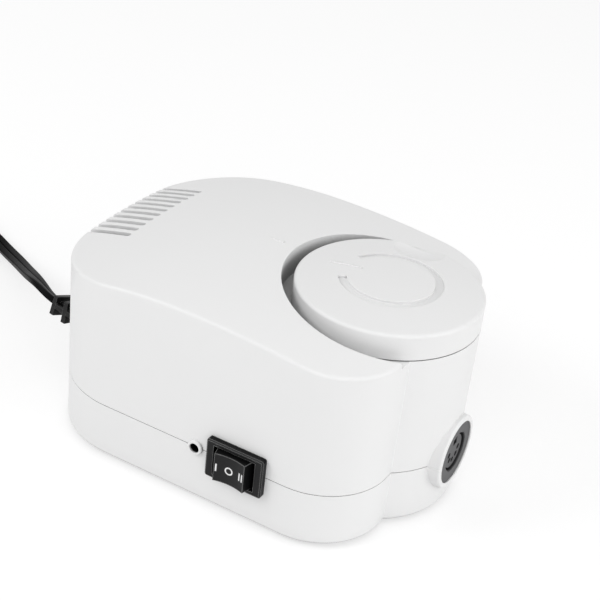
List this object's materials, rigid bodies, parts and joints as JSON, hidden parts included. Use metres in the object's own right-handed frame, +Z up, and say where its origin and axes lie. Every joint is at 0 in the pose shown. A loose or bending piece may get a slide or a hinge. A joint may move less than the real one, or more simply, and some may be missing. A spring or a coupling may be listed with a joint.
{
  "type": "nail drill control box",
  "caption": "Desk control box of a nail drill: rounded white two-part shell, round speed knob, three-position rocker switch, handpiece socket, pedal jack and mains cord.",
  "frame": {"origin": "middle of the footprint of the machine without its cord, on the table under the rubber feet", "axes": "+Z up, +X towards the handpiece socket, -Y towards the rocker switch"},
  "size_m": [0.3183, 0.1222, 0.077],
  "materials": {
    "shell_white": "satin, fine grained",
    "knob_white": "satin",
    "bright_steel": "zinc plated",
    "dark_steel": "blackened",
    "tinned_brass": "tinned",
    "switch_black": "smooth",
    "mark_white": "inlaid",
    "socket_grey": "matt",
    "core_steel": "varnished laminations",
    "bobbin_plastic": "natural nylon",
    "winding_tape": "polyester tape",
    "board_green": "solder mask",
    "can_sleeve": "sleeved cans",
    "sink_aluminium": "extruded",
    "resistor_body": "lacquered",
    "fuse_glass": "clear",
    "foot_rubber": "matt",
    "lead_pvc": "soft PVC",
    "cord_pvc": "soft PVC",
    "pin_nickel": "nickel plated"
  },
  "bodies": {
    "box": {"upper_shell": "shell_white", "base_shell": "shell_white", "potentiometer_body": "bright_steel", "potentiometer_tags": "tinned_brass", "potentiometer_washer": "bright_steel", "potentiometer_nut": "bright_steel", "switch_housing": "switch_black", "switch_blades": "tinned_brass", "socket_housing": "socket_grey", "socket_sleeve": "dark_steel", "socket_insert": "socket_grey", "socket_contacts": "tinned_brass", "jack_body": "switch_black", "jack_tags": "tinned_brass", "transformer_core": "core_steel", "transformer_bobbin": "bobbin_plastic", "transformer_pins": "tinned_brass", "transformer_winding": "winding_tape", "transformer_bracket": "bright_steel", "transformer_screws": "bright_steel", "circuit_board": "board_green", "board_screws": "bright_steel", "capacitors": "can_sleeve", "heat_sink": "sink_aluminium", "power_transistor": "switch_black", "rectifier_diodes": "switch_black", "resistors": "resistor_body", "glass_fuse": "fuse_glass", "fuse_clips": "tinned_brass", "board_headers": "bobbin_plastic", "case_screws": "bright_steel", "rubber_feet": "foot_rubber", "mains_leads": "lead_pvc", "output_leads": "lead_pvc", "speed_leads": "lead_pvc", "strain_relief": "cord_pvc", "cord": "cord_pvc", "cord_coil": "cord_pvc", "plug_body": "cord_pvc", "plug_pins": "pin_nickel"},
    "knob": {"speed_knob": "knob_white", "potentiometer_spindle": "bright_steel"},
    "rocker": {"switch_rocker": "switch_black", "rocker_marks": "mark_white"}
  },
  "joints": [
    {"name": "speed_knob_turn", "type": "hinge", "parent": "box", "child": "knob", "pos_m": [0.0364, 0.00267, 0.0653], "axis": [0, 0, -1], "range_deg": [0, 280]},
    {"name": "rocker_tilt", "type": "hinge", "parent": "box", "child": "rocker", "pos_m": [0.0148, -0.04623, 0.0214], "axis": [0, 0, 1], "range_deg": [-12, 12]}
  ]
}
